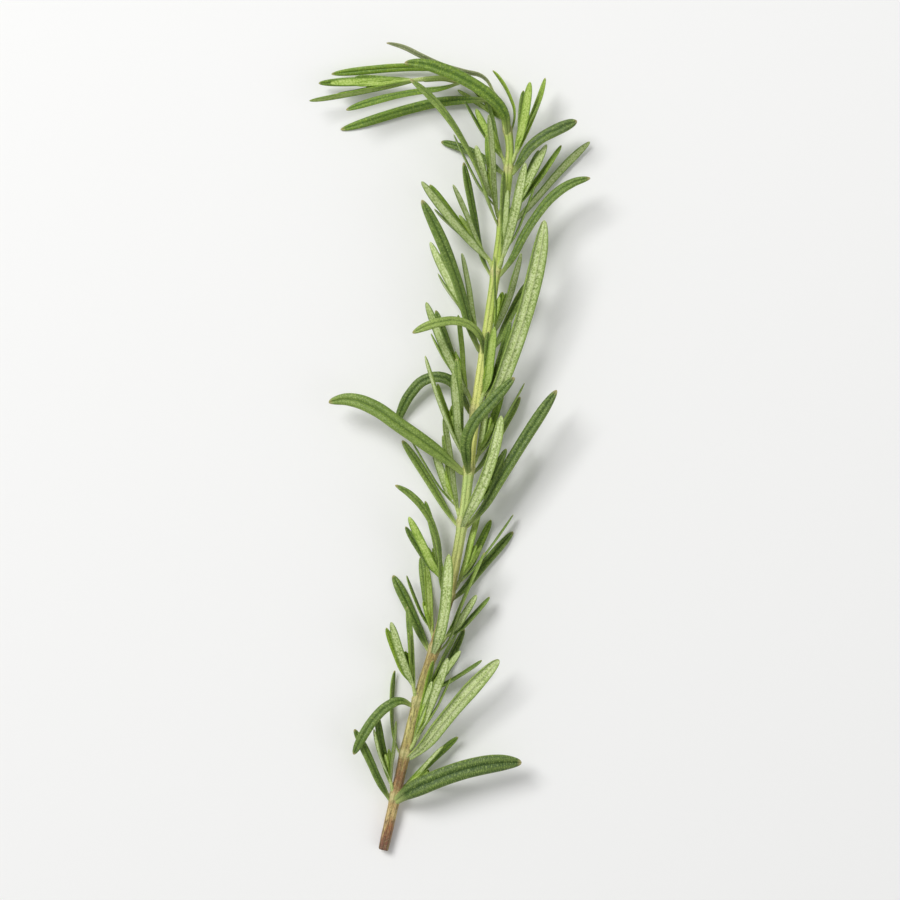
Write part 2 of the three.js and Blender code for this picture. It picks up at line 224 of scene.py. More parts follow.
section = []
for index in range(STEM_SIDES):
    turn = 2 * math.pi * index / STEM_SIDES
    out = 1 - CORNER * math.cos(4 * turn)
    section.append((out * math.cos(turn), out * math.sin(turn)))
places = [index * STEM_ROW * MM for index in range(int(stem_length / MM / STEM_ROW))]
places += [joint + offset * MM for joint in joints for offset in JOINT_ROWS]
rows = [(0, girth(0), girth(0))]
for place in sorted(places) + [stem_length]:
    if place - rows[-1][0] > LEAST_ROW * MM:
        rows.append((place, girth(place), girth(place)))
stem = add_ring("woody_stem", section)
draw_out(rows)
bpy.ops.mesh.edge_face_add()

# The bark is ridged lengthways and rough. The green part is nearly smooth.
for ridge in range(0, STEM_SIDES, RIDGE_STEP):
    turn = 2 * math.pi * ridge / STEM_SIDES
    crest = Vector((0, math.cos(turn), math.sin(turn)))
    select_where(lambda v: MM < v.co.x < BARK_END * MM and v.co.dot(crest) > ON_RIDGE * v.co.yz.length)
    bpy.ops.transform.shrink_fatten(value=-RIDGE * MM)
select_where(lambda v: v.co.x < BARK_END * MM)
bpy.ops.transform.vertex_random(offset=ROUGH_BARK * MM, uniform=0.3, normal=0.7, seed=4)
select_where(lambda v: v.co.x > BARK_END * MM)
bpy.ops.transform.vertex_random(offset=ROUGH_SKIN * MM, uniform=0.3, normal=0.7, seed=5)

# The cut shows a rim of bark, then pale wood, and in its middle a soft pith that has sunk in a little.
select_where(lambda v: v.co.x < CUT_ROW * MM)
bpy.ops.mesh.edge_face_add()
bpy.ops.mesh.inset(thickness=BARK_RIM * MM)
bpy.ops.mesh.inset(thickness=WOOD_RING * MM)
bpy.ops.transform.translate(value=(PITH_DEPTH * MM, 0, 0))
bpy.ops.mesh.poke()
finish_mesh(stem)


def lay_out(piece, length, half, tint, offset, outline):
    """Keeps on a straight piece what its patterns follow: its place in millimetres, and its shares of its
    length and of its half width with a tint from 0 to 1, one for all its corners or one for each. The
    offset makes no two pieces alike."""
    count = len(piece.data.vertices)
    at = np.empty(count * 3)
    piece.data.vertices.foreach_get("co", at)
    at = at.reshape(count, 3)
    across = [y / max(outline(x), 0.1) for x, y, _ in at]
    share = np.column_stack((at[:, 0], across, np.broadcast_to(tint, count)))
    straight = at * np.array((length, half, half)) / MM + (0, 0, offset)
    for name, values in (("straight", straight), ("share", share)):
        kept = piece.data.attributes.new(name, "FLOAT_VECTOR", "POINT")
        kept.data.foreach_set("vector", values.ravel())


def bend_along(piece, line, radii, tilts):
    """Bends a straight piece, drawn out along +X, so that it runs along this line of points."""
    guide = bpy.data.curves.new("guide", "CURVE")
    guide.dimensions = "3D"
    guide.twist_mode = "Z_UP"
    guide.resolution_u = 16
    guide.use_stretch = guide.use_deform_bounds = guide.use_radius = True
    spline = guide.splines.new("BEZIER")
    spline.bezier_points.add(len(line) - 1)
    for knot, point, radius, tilt in zip(spline.bezier_points, line, radii, tilts):
        knot.co = point
        knot.radius = radius
        knot.tilt = tilt
        knot.handle_left_type = knot.handle_right_type = "AUTO"
    rail = bpy.data.objects.new("guide", guide)
    bpy.context.collection.objects.link(rail)
    select_only(piece)
    bend = piece.modifiers.new("bend", "CURVE")
    bend.object = rail
    bend.deform_axis = "POS_X"
    bpy.ops.object.modifier_apply(modifier=bend.name)
    bpy.data.objects.remove(rail)
    bpy.data.curves.remove(guide)


at_joints = [
    max(math.exp(-(((corner.co.x - joint) / MM / JOINT_REACH) ** 2)) for joint in joints)
    for corner in stem.data.vertices
]
lay_out(stem, 1, 1, at_joints, 0, lambda x: 1)
line = stem_line[:-1:3] + [stem_line[-1]]  # one CAD ring in three is enough for a smooth curve
bend_along(stem, line, [1] * len(line), [0] * len(line))


def linear(hex_colour):
    """An sRGB hex colour as the linear colour that a shader takes."""
    parts = [int(hex_colour[at : at + 2], 16) / 255 for at in (1, 3, 5)]
    return [part / 12.92 if part <= 0.04045 else ((part + 0.055) / 1.055) ** 2.4 for part in parts] + [1]


def add(tree, kind, inputs=(), stops=(), **settings):
    """Adds a shader node with its settings and links. Each input is a value, or the output that feeds it. A
    colour ramp takes stops, the first two for its own ends."""
    made = tree.nodes.new(kind)
    for name, value in settings.items():
        setattr(made, name, value)
    for name, value in dict(inputs).items():
        if isinstance(value, bpy.types.NodeSocket):
            tree.links.new(value, made.inputs[name])
        else:
            made.inputs[name].default_value = linear(value) if isinstance(value, str) else value
    for index, (place, colour) in enumerate(stops):
        stops_made = made.color_ramp.elements
        stop = stops_made[index] if index < 2 else stops_made.new(place)
        stop.position = place
        stop.color = linear(colour) if isinstance(colour, str) else (colour, colour, colour, 1)
    return made.outputs


def new_material(name, **constants):
    """A material, its node tree, its shader, and the place in millimetres that lay_out has kept."""
    material = bpy.data.materials.new(name)
    material.use_nodes = True
    tree = material.node_tree
    shader = tree.nodes["Principled BSDF"]
    for socket, value in constants.items():
        shader.inputs[socket.replace("_", " ")].default_value = value
    straight = add(tree, "ShaderNodeAttribute", attribute_name="straight")["Vector"]
    return material, tree, shader, straight


def kept_shares(tree):
    """The rest of what lay_out has kept: shares of a piece's length and of its half width, and a tint."""
    share = add(tree, "ShaderNodeAttribute", attribute_name="share")["Vector"]
    along, across, tint = add(tree, "ShaderNodeSeparateXYZ", {"Vector": share})
    edge = add(tree, "ShaderNodeMath", {0: across}, operation="ABSOLUTE")[0]
    return along, edge, tint


# Rosemary bark: thin ridged cork over green wood, worn off towards the tip, where a dull down covers the
# skin. The cork is dry and matt and parts in lengthways streaks about 0.3 mm apart. The green part has eight
# shallow flutes, drawn only as painted shade in their hollows, and is dotted with oil glands about 0.4 mm
# apart.
bark, tree, shader, straight = new_material(
    "rosemary_bark_and_downy_shoot", Sheen_Weight=0.1, Sheen_Roughness=0.5
)
along, _, tint = kept_shares(tree)
streaks_lie = add(tree, "ShaderNodeMapping", {"Vector": straight, "Scale": (0.16, 1.6, 1.6)})[0]
streaks = add(
    tree, "ShaderNodeTexNoise", {"Vector": streaks_lie, "Scale": 1.0, "Detail": 4.0, "Roughness": 0.6}
)[0]
cork_lie = add(tree, "ShaderNodeMapping", {"Vector": straight, "Scale": (0.7, 3.6, 3.6)})[0]
cork = add(tree, "ShaderNodeTexNoise", {"Vector": cork_lie, "Scale": 1.0, "Detail": 5.0, "Roughness": 0.7})[0]
down = add(tree, "ShaderNodeTexNoise", {"Vector": straight, "Scale": 5.0, "Detail": 2.0, "Roughness": 0.6})[0]
wander = add(tree, "ShaderNodeMath", {0: streaks, 1: 0.05, 2: -0.025}, operation="MULTIPLY_ADD")[0]
length_share = add(
    tree, "ShaderNodeMath", {0: along, 1: 1 / stem_length, 2: wander}, operation="MULTIPLY_ADD"
)[0]
skin = add(
    tree,
    "ShaderNodeValToRGB",
    {0: length_share},
    stops=(  # from the reddish brown cut over bare and cork-covered stretches to the green of the tip
        (0, "#74473a"),
        (1, "#8fa84e"),
        (0.012, "#824c38"),
        (0.03, "#a0683f"),
        (0.042, "#ceb67a"),
        (0.056, "#c4a468"),
        (0.085, "#916340"),
        (0.12, "#ac9152"),
        (0.145, "#cfc378"),
        (0.2, "#bcb06a"),
        (0.255, "#ae884e"),
        (0.29, "#a27038"),
        (0.325, "#aba556"),
        (0.4, "#bccf7a"),
        (0.455, "#b8ce78"),
        (0.475, "#e4e480"),
        (0.6, "#e2e888"),
        (0.66, "#c0d464"),
        (0.8, "#a6c04f"),
    ),
)[0]
pale_streaks = add(tree, "ShaderNodeMapRange", {0: streaks, 1: 0.52, 2: 0.66, 3: 0.0, 4: 0.5})[0]
corkiness = add(tree, "ShaderNodeMapRange", {0: length_share, 1: 0.28, 2: 0.4, 3: 1.0, 4: 0.1})[0]
cracks = add(tree, "ShaderNodeMapRange", {0: cork, 1: 0.34, 2: 0.52, 3: 1.0, 4: 0.0})[0]
cracks = add(tree, "ShaderNodeMath", {0: cracks, 1: corkiness}, operation="MULTIPLY")[0]
collars = add(tree, "ShaderNodeMapRange", {0: tint, 1: 0.35, 2: 1.0, 3: 0.0, 4: 0.7})[0]
flecks = add(tree, "ShaderNodeMapRange", {0: down, 1: 0.5, 2: 0.75, 3: 0.0, 4: 0.4})[0]
_, side_way, up_way = add(tree, "ShaderNodeSeparateXYZ", {"Vector": straight})
# Painted shade: the hollows of eight flutes round the stem are darkened in the colour. Neither the mesh nor
# the bump has these flutes.
flutes = add(tree, "ShaderNodeMath", {0: side_way, 1: up_way}, operation="ARCTAN2")[0]
flutes = add(tree, "ShaderNodeMath", {0: flutes, 1: 8.0, 2: streaks}, operation="MULTIPLY_ADD")[0]
flutes = add(tree, "ShaderNodeMath", {0: flutes}, operation="SINE")[0]
painted_flute_shade = add(tree, "ShaderNodeMapRange", {0: flutes, 1: 0.1, 2: 0.9, 3: 0.0, 4: 1.0})[0]
painted_flute_shade = add(tree, "ShaderNodeMath", {0: painted_flute_shade, 1: streaks}, operation="MULTIPLY")[0]
glands = add(tree, "ShaderNodeTexVoronoi", {"Vector": straight, "Scale": 2.5})["Distance"]
glands = add(tree, "ShaderNodeMapRange", {0: glands, 1: 0.14, 2: 0.32, 3: 0.75, 4: 0.0})[0]
for strength, blend, colour in (
    (pale_streaks, "MIX", "#dbd48c"),
    (cracks, "MIX", "#5e4430"),
    (collars, "MIX", "#ccc58a"),
    (flecks, "MIX", "#dce0a0"),
    # painted shade in the hollows of the flutes
    (painted_flute_shade, "MULTIPLY", "#8f9c50"),
    (glands, "MULTIPLY", "#8a9a4a"),
):
    inputs = {0: strength, 6: skin, 7: colour}
    skin = add(tree, "ShaderNodeMix", inputs, data_type="RGBA", blend_type=blend)[2]
tree.links.new(skin, shader.inputs["Base Color"])
rough = add(tree, "ShaderNodeMapRange", {0: cork, 3: 0.5, 4: 0.85})[0]
tree.links.new(rough, shader.inputs["Roughness"])
relief = add(tree, "ShaderNodeMath", {0: cork, 1: corkiness, 2: down}, operation="MULTIPLY_ADD")[0]
bump = add(tree, "ShaderNodeBump", {"Strength": 0.5, "Distance": 0.12 * MM, "Height": relief})[0]
tree.links.new(bump, shader.inputs["Normal"])
stem.data.materials.append(bark)

# Fresh-cut wood and the pith inside it: pale straw, dry and matt, mottled by a grain 0.25 mm apart.
wood, tree, shader, straight = new_material("fresh_cut_rosemary_wood", Roughness=0.75)
grain = add(tree, "ShaderNodeTexNoise", {"Vector": straight, "Scale": 4.0, "Detail": 3.0})[0]
straw = add(tree, "ShaderNodeValToRGB", {0: grain}, stops=((0.3, "#b79a63"), (0.7, "#e0d2a3")))[0]
tree.links.new(straw, shader.inputs["Base Color"])
stem.data.materials.append(wood)
cut_way = (stem_line[1] - stem_line[0]).normalized()
for face in stem.data.polygons:
    faces_out = abs(face.normal.dot(cut_way)) > FACING
    face.material_index = int(faces_out and (face.center - stem_line[0]).length < CUT_WOOD * cut_radius)

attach(stem, "root")
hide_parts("stem")

# Leaves. Rosemary's leaves are thick leathery needles with no stalk. The upper side is waxy, dark green and
# grooved along the midrib. The margins roll under and leave a pale felted strip open below, where the
# midrib stands out. Each grows from the stem by a narrow foot, one of a pair on opposite sides.
BLADE_SECTION = (  # half a section in half widths: groove, crest, rolled margin, felt and midrib
    (0, -0.03),
    (0.08, 0.06),
    (0.28, 0.17),
    (0.56, 0.18),
    (0.82, 0.08),
    (0.97, -0.07),
    (1, -0.2),
    (0.95, -0.32),
    (0.86, -0.36),
    (0.77, -0.31),
    (0.71, -0.2),
    (0.42, -0.13),
    (0.15, -0.16),
    (0, -0.3),
)
FELT = 0.765  # share of half the width within which the underside is felt
NECK = 0.42  # width at the foot, as a share of the full width
NECK_END = 0.3  # share of the length at which a blade has its full width
TIP_START = 0.68  # share at which it starts to narrow to its tip
TIP_POWER = 2.4  # how blunt the tip is
THINNING = 0.65  # power of its width by which a blade gets thinner
# Shares of its length at which a blade has a row of corners, closer together towards its ends.
BLADE_ROWS = (0, 0.02, 0.05, 0.09, 0.14, 0.2, 0.27, 0.35, 0.43, 0.51, 0.59, 0.66, 0.72, 0.78, 0.83, 0.87)
BLADE_TIP_ROWS = (0.905, 0.935, 0.96, 0.98, 0.993)


def outline(share):
    """A blade's width at a share of its length, as a share of its full width."""
    rise = min(1, max(0, share / NECK_END))
    neck = NECK + (1 - NECK) * rise * rise * (3 - 2 * rise)
    tip = min(1, max(0, (share - TIP_START) / (1 - TIP_START)))
    return neck * math.sqrt(1 - tip**TIP_POWER)


def blade_blank(name, half_section, shares, finishes):
    """A straight blade, one unit long along +X and one unit from its midrib to each edge."""
    other_half = [(-y, z) for y, z in half_section[-2:0:-1]]
    blank = add_ring(name, [*half_section, *other_half])
    draw_out([(share, outline(share), outline(share) ** THINNING) for share in shares])
    bpy.ops.mesh.extrude_region_move(TRANSFORM_OT_translate={"value": (1 - shares[-1], 0, 0)})
    bpy.ops.mesh.merge(type="CENTER")
    select_where(lambda corner: corner.co.x < TOUCH)
    bpy.ops.mesh.merge(type="CENTER")
    finish_mesh(blank)
    for finish in finishes:
        blank.data.materials.append(finish)
    for face in blank.data.polygons:  # felt lies on what faces down between the rolled margins
        x, y, z = face.center
        face.material_index = int(face.normal.z < 0.1 and abs(y) < FELT * outline(x) and z < -0.02)
    return blank


def leaf_cuticle(name, dark, middling, light, speck):
    """Waxy upper skin: fine cross wrinkles 0.23 mm apart, a net of pits 0.24 mm apart and painted shade along
    the groove. It shines a little, more on the tops of the wrinkles. The foot is paler, and the very tip has
    dried."""
    material, tree, shader, straight = new_material(name, Specular_IOR_Level=0.4)
    along, edge, tint = kept_shares(tree)
    patches = add(tree, "ShaderNodeTexNoise", {"Vector": straight, "Scale": 0.2, "Detail": 3.0})[0]
    wrinkles_lie = add(tree, "ShaderNodeMapping", {"Vector": straight, "Scale": (4.4, 1.5, 1.5)})[0]
    wrinkles = add(tree, "ShaderNodeTexNoise", {"Vector": wrinkles_lie, "Scale": 1.0, "Detail": 3.0})[0]
    pits = add(tree, "ShaderNodeTexVoronoi", {"Vector": straight, "Scale": 4.2})["Distance"]
    # Painted highlight: a paler band along the crest of each convex half of the blade, where a lamp's shine
    # would fall.
    painted_crest_highlight = add(tree, "ShaderNodeMath", {0: edge, 1: 0.5}, operation="SUBTRACT")[0]
    painted_crest_highlight = add(tree, "ShaderNodeMath", {0: painted_crest_highlight}, operation="ABSOLUTE")[0]
    patchy = add(tree, "ShaderNodeMath", {0: patches, 1: 0.7, 2: -0.35}, operation="MULTIPLY_ADD")[0]
    tone = add(tree, "ShaderNodeMath", {0: tint, 1: patchy}, operation="ADD")[0]
    skin = add(tree, "ShaderNodeValToRGB", {0: tone}, stops=((0, dark), (1, light), (0.5, middling)))[0]
    layers = (  # a value, between which two figures it counts, the layer's strength at both, and its colour
        (wrinkles, 0.5, 0.66, 0.0, 0.6, light),
        (pits, 0.42, 0.62, 0.0, 0.5, dark),
        (pits, 0.1, 0.28, 0.6, 0.0, speck),
        # painted highlight on the crest of each half
        (painted_crest_highlight, 0.0, 0.35, 0.2, 0.0, light),
        (edge, 0.03, 0.12, 0.55, 0.0, dark),  # painted shade in the groove
        (edge, 0.82, 1.0, 0.0, 0.45, light),  # painted highlight along the rolled margin, where it catches the light
        (along, 0.03, 0.16, 0.75, 0.0, "#b4c474"),  # the foot
        (along, 0.965, 0.995, 0.0, 0.8, "#b5a873"),  # the dried tip
    )
    for value, start, end, first, last, over in layers:
        strength = add(tree, "ShaderNodeMapRange", {0: value, 1: start, 2: end, 3: first, 4: last})[0]
        skin = add(tree, "ShaderNodeMix", {0: strength, 6: skin, 7: over}, data_type="RGBA")[2]
    tree.links.new(skin, shader.inputs["Base Color"])
    rough = add(tree, "ShaderNodeMapRange", {0: wrinkles, 3: 0.5, 4: 0.32})[0]
    tree.links.new(rough, shader.inputs["Roughness"])
    relief = add(tree, "ShaderNodeMath", {0: pits, 1: 0.8, 2: wrinkles}, operation="MULTIPLY_ADD")[0]
    bump = add(tree, "ShaderNodeBump", {"Strength": 0.7, "Distance": 0.12 * MM, "Height": relief})[0]
    tree.links.new(bump, shader.inputs["Normal"])
    return material


def leaf_felt(name, pit, fleece, tuft, rib):
    """Felt of branched hairs: matt, pale, in tufts 0.35 mm apart with the green skin showing between them.
    It is thinner on a darker leaf, towards the margins and beside the midrib."""
    material, tree, shader, straight = new_material(
        name, Roughness=0.9, Sheen_Weight=0.2, Sheen_Roughness=0.5
    )
    _, edge, tint = kept_shares(tree)
    tufts = {"Vector": straight, "Scale": 2.8, "Detail": 3.0, "Roughness": 0.65}
    hairs = add(tree, "ShaderNodeTexNoise", tufts)[0]
    patches = add(tree, "ShaderNodeTexNoise", {"Vector": straight, "Scale": 0.3, "Detail": 2.0})[0]
    uneven = add(tree, "ShaderNodeMath", {0: patches, 1: 0.3, 2: -0.15}, operation="MULTIPLY_ADD")[0]
    thickness = add(tree, "ShaderNodeMath", {0: hairs, 1: uneven}, operation="ADD")[0]
    stops = ((0.36, pit), (0.63, tuft), (0.47, fleece))
    felt = add(tree, "ShaderNodeValToRGB", {0: thickness}, stops=stops)[0]
    layers = (
        (tint, 0.0, 0.7, 0.6, 0.0, pit),
        (edge, 0.5, 0.74, 0.0, 0.6, pit),  # towards the margins
        (edge, 0.13, 0.22, 0.2, 0.0, pit),  # beside the midrib
        (edge, 0.05, 0.13, 0.3, 0.0, rib),
    )
    for value, start, end, first, last, over in layers:
        strength = add(tree, "ShaderNodeMapRange", {0: value, 1: start, 2: end, 3: first, 4: last})[0]
        felt = add(tree, "ShaderNodeMix", {0: strength, 6: felt, 7: over}, data_type="RGBA")[2]
    tree.links.new(felt, shader.inputs["Base Color"])
    bump = add(tree, "ShaderNodeBump", {"Strength": 0.6, "Distance": 0.1 * MM, "Height": hairs})[0]
    tree.links.new(bump, shader.inputs["Normal"])
    return material


# Full-grown leaves, the brighter young ones, and one that has begun to dry and turns grey.
mature = (
    leaf_cuticle("waxy_rosemary_leaf_skin", "#38521a", "#5f7d24", "#9bb256", "#b9c986"),
    leaf_felt("felted_rosemary_leaf_underside", "#7a9244", "#b4c77c", "#d6e1ac", "#d5df9c"),
)
young = (
    leaf_cuticle("young_rosemary_leaf_skin", "#42611a", "#6b8e28", "#a3bf3c", "#bfd088"),
    leaf_felt("downy_young_leaf_underside", "#7a9a36", "#a6c054", "#c4d680", "#cbdd7e"),
)
drying = (
    leaf_cuticle("drying_rosemary_leaf_skin", "#5c6638", "#8f9a68", "#bcc298", "#d0d2b4"),
    leaf_felt("drying_rosemary_leaf_underside", "#8f9a6c", "#bcc298", "#d6d8b8", "#d6d6b0"),
)
BLADE_SIDES = 6  # corners of a ring of a CAD leaf
SHORTEST = 6 * MM  # no leaf is shorter than this
POINTED = 0.8  # a tip's edges lead from it in ways of length 1 whose mean is longer than this
PATTERN_RANGE = 900  # mm over which the starts of the leaves' patterns are spread
WIDTH_CHANCE = (0.96, 1.03)  # how much a blade's width varies along it
TURN_CHANCE = (-0.05, 0.05)  # and its turn about its own length, in radians


def blade_tips(mesh, foot):
    """The corners at the tips of a CAD piece's blades. From a tip whole rings of corners follow each other,
    or where blades run together, at least all its edges lead nearly the same way."""
    ends = []
    for corner in mesh.verts:
        ways = [(edge.other_vert(corner).co - corner.co).normalized() for edge in corner.link_edges]
        if len(ways) != BLADE_SIDES or (corner.co - foot).length < SHORTEST:
            continue
        if middle(ways).length > POINTED or len(rings_from(corner, BLADE_SIDES)) > 1:
            ends.append(corner)
    return ends


def midrib(tip):
    """A CAD blade as its rings show it, from its tip as far as they go: a list with the middle between its
    edges and the direction of its upper side, and its half width."""
    line, half = [], 0
    for ring in rings_from(tip, BLADE_SIDES):
        a, b = max(((p, q) for p in ring for q in ring), key=lambda pair: (pair[0] - pair[1]).length)
        line.append(((a + b) / 2, ((a + b) / 2 - middle(ring)).normalized()))
        half = max(half, (a - b).length / 2)
    return line, half


def tilts_along(line, uppers):
    """How far a blade is turned about its own length at each point, so that its upper side faces as given."""
    tilts = []
    for index, upper in enumerate(uppers):
        way = line[min(index + 1, len(line) - 1)] - line[max(index - 1, 0)]
        level = way.cross(Vector((0, 0, 1))).normalized()
        tilt = math.atan2(upper.dot(level), upper.dot(level.cross(way.normalized())))
        if tilts:
            tilt += 2 * math.pi * round((tilts[-1] - tilt) / 2 / math.pi)
        tilts.append(tilt)
    return tilts


def grow_blade(blank, name, line, uppers, half, tint, chance):
    """Copies a straight blade and bends it along a line from its foot to its tip."""
    select_only(blank)
    bpy.ops.object.duplicate()
    blade = bpy.context.object
    blade.name = name
    length = sum((b - a).length for a, b in zip(line, line[1:]))
    lay_out(blade, length, half, tint, chance.uniform(0, PATTERN_RANGE), outline)
    radii = [half * chance.uniform(*WIDTH_CHANCE) for _ in line]
    tilts = [tilt + chance.uniform(*TURN_CHANCE) for tilt in tilts_along(line, uppers)]
    bend_along(blade, line, radii, tilts)
    return blade


FOOT_RUN = 1.2 * MM  # how far down the stem a leaf's foot runs before it is lost in the bark
FOOT_DEPTH = 0.5  # and how far out from the stem's middle it starts, as a share of the way to its surface
FOOT_REACH = 2.4 * MM  # over which a leaf swings away from the stem


def rooted(node, points):
    """The line of a leaf or stalk, which runs up along the stem before it follows these points."""
    foot, core, place = feet[node]
    root = core_at(place - FOOT_RUN) + (foot - core) * FOOT_DEPTH
    return [root, *points]


TINT_CHANCE = (0.35, 0.75)  # how pale an ordinary leaf is, from 0 to 1
TINTS = {  # and each leaf that stands out from its neighbours
    "leaf_01_left": 0.25,
    "leaf_01_top": 0.05,
    "leaf_02_right": 0.8,
    "leaf_03_left": 0.3,
    "leaf_06_right": 0.15,
    "leaf_06_top": 0.95,
    "leaf_07_left": 0.65,
    "leaf_07_top": 0.25,
    "leaf_08_left": 0.1,
    "leaf_08_right": 0.75,
    "leaf_09_left": 0.35,
    "leaf_09_top": 0.95,
    "leaf_12_right": 0.1,
    "leaf_13_top": 0.2,
    "leaf_14_left": 0.25,
    "leaf_14_right": 0.3,
    "leaf_15_left": 0.3,
}
blank = blade_blank("blade", BLADE_SECTION, BLADE_ROWS + BLADE_TIP_ROWS, mature)
young_blank = blade_blank("young_blade", BLADE_SECTION, BLADE_ROWS + BLADE_TIP_ROWS, young)
for node in sorted(name for name in frame["nodes"] if name.startswith("leaf")):
    chance = random.Random(node)
    foot = feet[node][0]
    mesh = welded(node)
    tip = max(blade_tips(mesh, foot), key=lambda end: (end.co - foot).length)
    ribs, half = midrib(tip)
    free = [rib for rib in reversed(ribs) if (rib[0] - foot).length > FOOT_REACH]
    line = rooted(node, [*(point for point, _ in free), tip.co.copy()])
    uppers = [upper for _, upper in free]
    uppers = [uppers[0], *uppers, uppers[-1]]
    mesh.free()
    is_young = slots[node] == "young_leaf"
    made_from = young_blank if is_young else blank
    tint = TINTS.get(node, chance.uniform(*TINT_CHANCE))
    leaf = grow_blade(made_from, node + "_blade", line, uppers, half, tint, chance)
    if node == "leaf_14_right":
        leaf.data.materials[0], leaf.data.materials[1] = drying
    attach(leaf, "root")
    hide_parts(node)
for straight_blade in (blank, young_blank):
    bpy.data.objects.remove(straight_blade)

# Side shoots. In the angle between a leaf and the stem sits a bud that has grown out: a short downy stalk
# with narrow leaves all round it, the innermost still folded upright and bright. The growing tip of the
# sprig is the same.
SMALL_SECTION = (  # a simpler section for small leaves
    (0, -0.04),
    (0.12, 0.09),
    (0.5, 0.2),
    (0.9, 0.02),
    (1, -0.2),
    (0.86, -0.36),
    (0.68, -0.2),
    (0.15, -0.16),
    (0, -0.28),
)
SMALL_ROWS = (0, 0.05, 0.12, 0.22, 0.36, 0.5, 0.64, 0.76, 0.86, 0.93, 0.98)
STALK_SIDES = 8
# A stalk's rows of corners: a share of its length, its width and its height there.
STALK_ROWS = ((0, 1, 1), (0.2, 0.85, 0.85), (0.5, 0.7, 0.7), (0.8, 0.6, 0.6), (0.95, 0.3, 0.3))
STALK_THICKNESS = 0.6  # a stalk's thickness, as a share of its widest leaf's width
STALK_END = 0.18  # where it ends, as a share of the shoot's length
STALK_LENGTH = 0.2  # and how long it is with its foot
LEAF_START, LEAF_STEP = 0.02, 0.04  # where its longest leaf starts, and how much further up each next one
NARROWEST = 0.85  # the least width of a leaf, as a share of the widest one's
SMALL_TINT_CHANCE = (0.4, 1)  # how pale it is, as a share of the palest
YOUNG_SHARE = 0.3  # of the leaves of an older shoot, this share is still young
INNER = 5  # leaves still folded round a shoot's end
INNER_START, INNER_STEP = 0.1, 0.03  # where they start in the same way
INNER_LINE = ((0, 0), (0.5, 0.07), (1, 0.1))  # shares of its length, up the shoot and away from it
INNER_SHORTER = 0.1  # each is shorter than the last by this share of the first
INNER_LENGTH_CHANCE = (0.75, 1.1)  # how much their length varies
INNER_WIDTH_CHANCE = (0.6, 0.75)  # as a share of the shoot's widest leaf
INNER_TINT_CHANCE = (0.55, 0.9)  # and how pale they are
GOLDEN_TURN = math.radians(137.5)

small_blank = blade_blank("small_blade", SMALL_SECTION, SMALL_ROWS, mature)
small_young_blank = blade_blank("small_young_blade", SMALL_SECTION, SMALL_ROWS, young)
turns = [2 * math.pi * index / STALK_SIDES for index in range(STALK_SIDES)]
stalk_blank = add_ring("stalk", [(math.cos(turn), math.sin(turn)) for turn in turns])
draw_out(STALK_ROWS)
bpy.ops.mesh.edge_face_add()
select_where(lambda corner: corner.co.x < TOUCH)
bpy.ops.mesh.edge_face_add()
finish_mesh(stalk_blank)

# Downy young stalk: pale yellow-green, matt, with a nap of short hairs in tufts 0.22 mm apart.
stalk_skin, tree, shader, straight = new_material(
    "downy_rosemary_stalk", Roughness=0.75, Sheen_Weight=0.35, Sheen_Roughness=0.5
)
nap = add(tree, "ShaderNodeTexNoise", {"Vector": straight, "Scale": 4.5, "Detail": 3.0})[0]
skin = add(tree, "ShaderNodeValToRGB", {0: nap}, stops=((0.35, "#93a84c"), (0.65, "#c6d38a")))[0]
tree.links.new(skin, shader.inputs["Base Color"])
bump = add(tree, "ShaderNodeBump", {"Strength": 0.5, "Distance": 0.1 * MM, "Height": nap})[0]
tree.links.new(bump, shader.inputs["Normal"])
stalk_blank.data.materials.append(stalk_skin)


def inner_leaf(start, axis, side, length):
    """The line of a leaf at a shoot's end, which stands off the shoot's own line only a little, with its
    upper side turned towards it."""
    points = [start + axis * up * length + side * off * length for up, off in INNER_LINE]
    return points, [-side] * len(points)


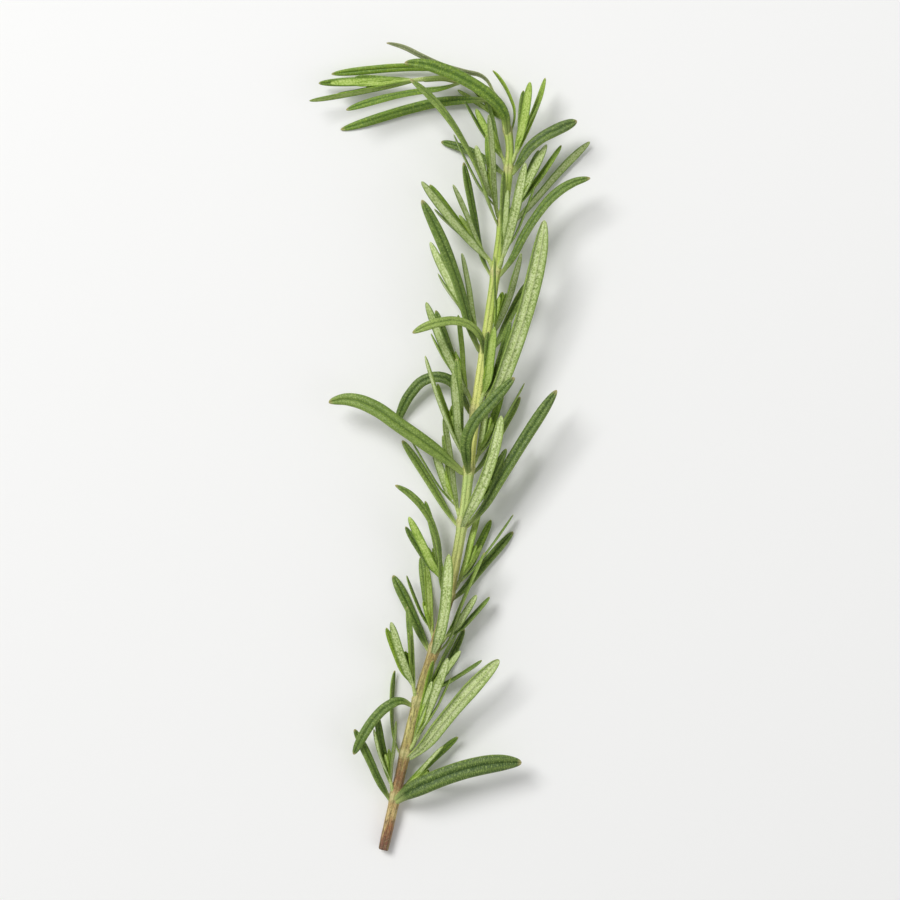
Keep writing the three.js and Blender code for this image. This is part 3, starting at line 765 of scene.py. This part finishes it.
for node in sorted(name for name in frame["nodes"] if name.startswith(("shoot", "growing"))):
    chance = random.Random(node)
    foot, core, _ = feet[node]
    mesh = welded(node)
    blades = [(tip.co.copy(), *midrib(tip)) for tip in blade_tips(mesh, foot)]
    mesh.free()
    axis = (middle([tip for tip, _, _ in blades]) - foot).normalized()
    blades.sort(key=lambda blade: -(blade[0] - foot).length)
    reach = (blades[0][0] - foot).length
    widest = max(half for _, _, half in blades)
    is_young = slots[node] == "young_leaf"
    is_tip = node == "growing_tip"
    palest = 0.5 if is_tip else 0.8  # the growing tip's leaves are darker
    inner_reach = 0.6 if is_tip else 0.4  # and its folded ones longer, as a share of the shoot's length
    grown = []
    for index, (tip, ribs, half) in enumerate(blades):
        start = foot + axis * reach * (LEAF_START + LEAF_STEP * index)
        line = [start, *(point for point, _ in reversed(ribs)), tip]
        uppers = [upper for _, upper in reversed(ribs)]
        uppers = [uppers[0], *uppers, uppers[-1]]
        made_from = small_young_blank if is_young or chance.random() < YOUNG_SHARE else small_blank
        half = max(half, NARROWEST * widest)
        tint = palest * chance.uniform(*SMALL_TINT_CHANCE)
        grown.append(grow_blade(made_from, "small_leaf", line, uppers, half, tint, chance))
    for index in range(INNER):
        side = Matrix.Rotation(index * GOLDEN_TURN, 3, axis) @ axis.orthogonal().normalized()
        start = foot + axis * reach * (INNER_START + INNER_STEP * index)
        length = reach * inner_reach * chance.uniform(*INNER_LENGTH_CHANCE) * (1 - INNER_SHORTER * index)
        line, uppers = inner_leaf(start, axis, side, length)
        half = widest * chance.uniform(*INNER_WIDTH_CHANCE)
        tint = chance.uniform(*INNER_TINT_CHANCE)
        grown.append(grow_blade(small_young_blank, "inner_leaf", line, uppers, half, tint, chance))
    select_only(stalk_blank)
    bpy.ops.object.duplicate()
    stalk = bpy.context.object
    thickness = end_radius if is_tip else widest * STALK_THICKNESS
    line = [foot, foot + axis * reach * STALK_END]
    line = [core - axis * end_radius, *line] if is_tip else rooted(node, line)
    lay_out(stalk, reach * STALK_LENGTH, thickness, 0.5, chance.uniform(0, PATTERN_RANGE), lambda x: 1)
    bend_along(stalk, line, [thickness] * len(line), [0] * len(line))
    bpy.ops.object.select_all(action="DESELECT")
    for piece in [stalk, *grown]:
        piece.select_set(True)
    bpy.context.view_layer.objects.active = stalk
    bpy.ops.object.join()
    stalk.name = node + "_tuft"
    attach(stalk, "root")
    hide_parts(node)
for straight_piece in (small_blank, small_young_blank, stalk_blank):
    bpy.data.objects.remove(straight_piece)

# The studio: a pale, matt table top under the sprig, a large soft lamp at the upper left, a faint one at
# the right and pale light all round.
TABLE = 6  # m, its width
ROOM_LIGHT = 0.42  # strength of the light all round
LAMPS = (  # place from the sprig's middle and width in m, and power in watts
    ((-0.7, 0.7, 1.2), 0.65, 19),
    ((0.9, -0.3, 0.7), 0.8, 1.6),
)
low, high = cad_bounds
centre = (Vector(low) + Vector(high)) / 2
bpy.ops.object.select_all(action="DESELECT")
bpy.ops.mesh.primitive_plane_add(size=TABLE, location=(centre.x, centre.y, 0))
floor = bpy.context.object
floor.name = "table_top"
bpy.ops.object.transform_apply(location=True, rotation=True, scale=True)
table_top = bpy.data.materials.new("matt_white_table_top")
table_top.use_nodes = True
table_shader = table_top.node_tree.nodes["Principled BSDF"]
table_shader.inputs["Base Color"].default_value = linear("#eeeeed")
table_shader.inputs["Roughness"].default_value = 0.9
floor.data.materials.append(table_top)

world = bpy.data.worlds.new("soft_room_light")
bpy.context.scene.world = world
world.use_nodes = True
world.node_tree.nodes["Background"].inputs["Color"].default_value = (1, 1, 1, 1)
world.node_tree.nodes["Background"].inputs["Strength"].default_value = ROOM_LIGHT

for place, size, power in LAMPS:
    lamp_data = bpy.data.lights.new("softbox", "AREA")
    lamp_data.size = size
    lamp_data.energy = power
    lamp = bpy.data.objects.new("softbox", lamp_data)
    bpy.context.collection.objects.link(lamp)
    lamp.location = centre + Vector(place)
    lamp.rotation_euler = (-Vector(place)).to_track_quat("-Z", "Y").to_euler()

# The camera looks straight down on the sprig, as on a leaf pressed on paper, from nearly half a metre above.
VIEW_HEIGHT = 1.11  # as a share of the sprig's length
camera_data = bpy.data.cameras.new("camera")
camera_data.lens = 85
camera = bpy.data.objects.new("camera", camera_data)
bpy.context.collection.objects.link(camera)
seen = VIEW_HEIGHT * (high[1] - low[1])
camera.location = (centre.x, centre.y, high[2] / 2 + seen * camera_data.lens / camera_data.sensor_width)
bpy.context.scene.camera = camera
bpy.context.scene.view_settings.view_transform = "Standard"
